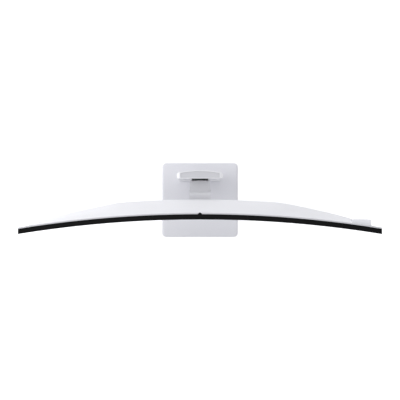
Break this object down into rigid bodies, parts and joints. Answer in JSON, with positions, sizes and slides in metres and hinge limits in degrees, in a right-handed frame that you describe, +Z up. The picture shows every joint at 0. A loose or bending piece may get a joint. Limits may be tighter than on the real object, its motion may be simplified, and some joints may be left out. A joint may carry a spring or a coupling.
{
  "type": "computer monitor",
  "caption": "Very wide curved computer monitor with a white rear cover, a height-adjustable column stand and a flat square base.",
  "frame": {"origin": "middle of the base, on the desk", "axes": "+X to the right of someone who faces the screen, +Y to the rear, +Z up"},
  "size_m": [1.215, 0.293, 0.568],
  "materials": {
    "glass_panel": "glossy",
    "film": "matte",
    "acrylic": "clear",
    "white_plastic": "fine satin",
    "grey_plastic": "satin",
    "black_plastic": "satin",
    "dark_plastic": "matte",
    "steel": "zinc plated",
    "cast_alloy": "die cast",
    "circuit_board": "solder mask",
    "heatsink_alloy": "extruded",
    "polyimide": "satin",
    "bushing": "smooth",
    "rubber": "matte",
    "brass_cage": "stamped"
  },
  "bodies": {
    "base": {"base_cover": "white_plastic", "base_weight": "steel", "base_underside": "dark_plastic", "rubber_feet": "rubber", "swivel_bush": "bushing"},
    "column": {"column_shell": "white_plastic", "column_front": "dark_plastic", "column_cap": "grey_plastic", "column_spine": "steel", "outer_rails": "steel", "swivel_hub": "steel", "cable_grommet": "dark_plastic", "spring_bands": "steel"},
    "thumbscrew": {"thumbscrew": "steel"},
    "ball_cages": {"ball_cages": "brass_cage"},
    "spring_drums": {"spring_drums": "steel"},
    "arm": {"arm_casting": "cast_alloy", "arm_cover": "grey_plastic", "carriage": "steel"},
    "release_button": {"release_button": "dark_plastic"},
    "latch": {"latch": "steel"},
    "joystick_ring": {"joystick_ring": "dark_plastic"},
    "joystick_stem": {"joystick_stem": "dark_plastic"},
    "joystick_cap": {"joystick_cap": "black_plastic"},
    "head": {"lcd_cell": "glass_panel", "optical_films": "film", "light_guide": "acrylic", "reflector_sheet": "film", "led_bar": "bushing", "backlight_pan": "steel", "panel_frame": "black_plastic", "bottom_bezel": "black_plastic", "rear_cover": "white_plastic", "mount_recess": "white_plastic", "vesa_bracket": "steel", "vent_grilles": "grey_plastic", "speaker_grilles": "grey_plastic", "port_panel": "dark_plastic", "main_board": "circuit_board", "power_board": "circuit_board", "timing_board": "circuit_board", "heatsink": "heatsink_alloy", "flex_cables": "polyimide", "hdmi_sockets": "steel", "displayport_socket": "steel", "usb_b_socket": "steel", "ac_inlet": "dark_plastic", "side_pod": "white_plastic", "usb_a_sockets": "steel", "usb_c_socket": "steel", "headphone_socket": "dark_plastic", "speakers": "dark_plastic", "light_sensor": "black_plastic", "joystick_base": "dark_plastic", "mount_plate": "steel", "tilt_bracket": "steel", "hinge_cover": "grey_plastic", "tilt_shaft": "steel", "tilt_springs": "steel"}
  },
  "joints": [
    {"name": "swivel", "type": "hinge", "parent": "base", "child": "column", "pos_m": [0, 0.089, 0.015], "axis": [0, 0, 1], "range_deg": [-15, 15]},
    {"name": "thumbscrew_turn", "type": "hinge", "parent": "column", "child": "thumbscrew", "pos_m": [0, 0.089, 0.005], "axis": [0, 0, 1], "continuous": true},
    {"name": "lift", "type": "slide", "parent": "column", "child": "arm", "axis": [0, 0, 1], "range_m": [-0.11, 0], "deforming": ["spring_bands"]},
    {"name": "cage_slide", "type": "slide", "parent": "column", "child": "ball_cages", "axis": [0, 0, 1], "range_m": [-0.055, 0]},
    {"name": "drum_turn", "type": "hinge", "parent": "column", "child": "spring_drums", "pos_m": [0, 0.08726, 0.423], "axis": [1, 0, 0], "range_deg": [-936, 2]},
    {"name": "tilt", "type": "hinge", "parent": "arm", "child": "head", "pos_m": [0, 0.014, 0.3855], "axis": [-1, 0, 0], "range_deg": [-5, 15]},
    {"name": "release_press", "type": "slide", "parent": "head", "child": "release_button", "axis": [0, -1, 0], "range_m": [0, 0.002], "stiffness_N_per_m": 600},
    {"name": "latch_slide", "type": "slide", "parent": "head", "child": "latch", "axis": [0, 0, 1], "range_m": [0, 0.003]},
    {"name": "joystick_pitch", "type": "hinge", "parent": "head", "child": "joystick_ring", "pos_m": [0, -0.0545, 0.207], "axis": [1, 0, 0], "range_deg": [-6, 6], "stiffness_Nm_per_rad": 0.03},
    {"name": "joystick_roll", "type": "hinge", "parent": "joystick_ring", "child": "joystick_stem", "pos_m": [0, -0.0545, 0.207], "axis": [0, 1, 0], "range_deg": [-6, 6], "stiffness_Nm_per_rad": 0.03},
    {"name": "joystick_press", "type": "slide", "parent": "joystick_stem", "child": "joystick_cap", "axis": [0, 0, 1], "range_m": [0, 0.0008], "stiffness_N_per_m": 500}
  ],
  "couplings": [
    {"joint": "cage_slide", "follows": "lift", "ratio": 0.5},
    {"joint": "drum_turn", "follows": "lift", "rad_per_m": 148.15},
    {"joint": "latch_slide", "follows": "release_press", "ratio": 1.5}
  ]
}
